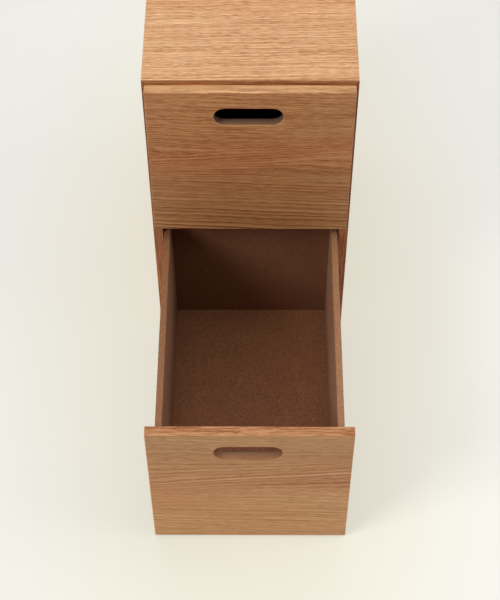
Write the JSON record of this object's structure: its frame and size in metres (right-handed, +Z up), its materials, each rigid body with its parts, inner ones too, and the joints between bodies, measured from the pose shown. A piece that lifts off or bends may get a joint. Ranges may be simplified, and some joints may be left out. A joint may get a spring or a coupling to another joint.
{
  "type": "stacking drawer chest",
  "caption": "Narrow tabletop chest: a mitred wooden case with flat top and base for stacking, and equal deep overlay drawers pulled by pill-shaped finger slots.",
  "frame": {"origin": "centre of the case's underside, on the surface that it stands on", "axes": "+Z up, +X to the right seen from the front, drawers pull out along -Y"},
  "size_m": [0.185, 0.5096, 0.37],
  "materials": {
    "oak_veneer": "oiled oak veneer on board",
    "oak_lipping": "oiled oak strip",
    "spline_board": "bare plywood",
    "dowel_beech": "bare beech",
    "drawer_board": "brown fibreboard",
    "soft_pad": "clear silicone"
  },
  "bodies": {
    "case": {"top_panel": "oak_veneer", "bottom_panel": "oak_veneer", "left_side_panel": "oak_veneer", "right_side_panel": "oak_veneer", "middle_shelf": "oak_veneer", "back_panel": "oak_veneer", "top_lipping": "oak_lipping", "bottom_lipping": "oak_lipping", "left_side_lipping": "oak_lipping", "right_side_lipping": "oak_lipping", "shelf_lipping": "oak_lipping", "top_left_spline": "spline_board", "top_right_spline": "spline_board", "bottom_left_spline": "spline_board", "bottom_right_spline": "spline_board", "shelf_dowels": "dowel_beech"},
    "upper_drawer": {"upper_drawer_front": "oak_veneer", "upper_drawer_left_side": "drawer_board", "upper_drawer_right_side": "drawer_board", "upper_drawer_back": "drawer_board", "upper_drawer_floor": "drawer_board", "upper_drawer_bumpers": "soft_pad"},
    "lower_drawer": {"lower_drawer_front": "oak_veneer", "lower_drawer_left_side": "drawer_board", "lower_drawer_right_side": "drawer_board", "lower_drawer_back": "drawer_board", "lower_drawer_floor": "drawer_board", "lower_drawer_bumpers": "soft_pad"}
  },
  "joints": [
    {"name": "upper_drawer_slide", "type": "slide", "parent": "case", "child": "upper_drawer", "axis": [0, -1, 0], "range_m": [0, 0.23]},
    {"name": "lower_drawer_slide", "type": "slide", "parent": "case", "child": "lower_drawer", "axis": [0, -1, 0], "range_m": [-0.2246, 0.0054]}
  ]
}
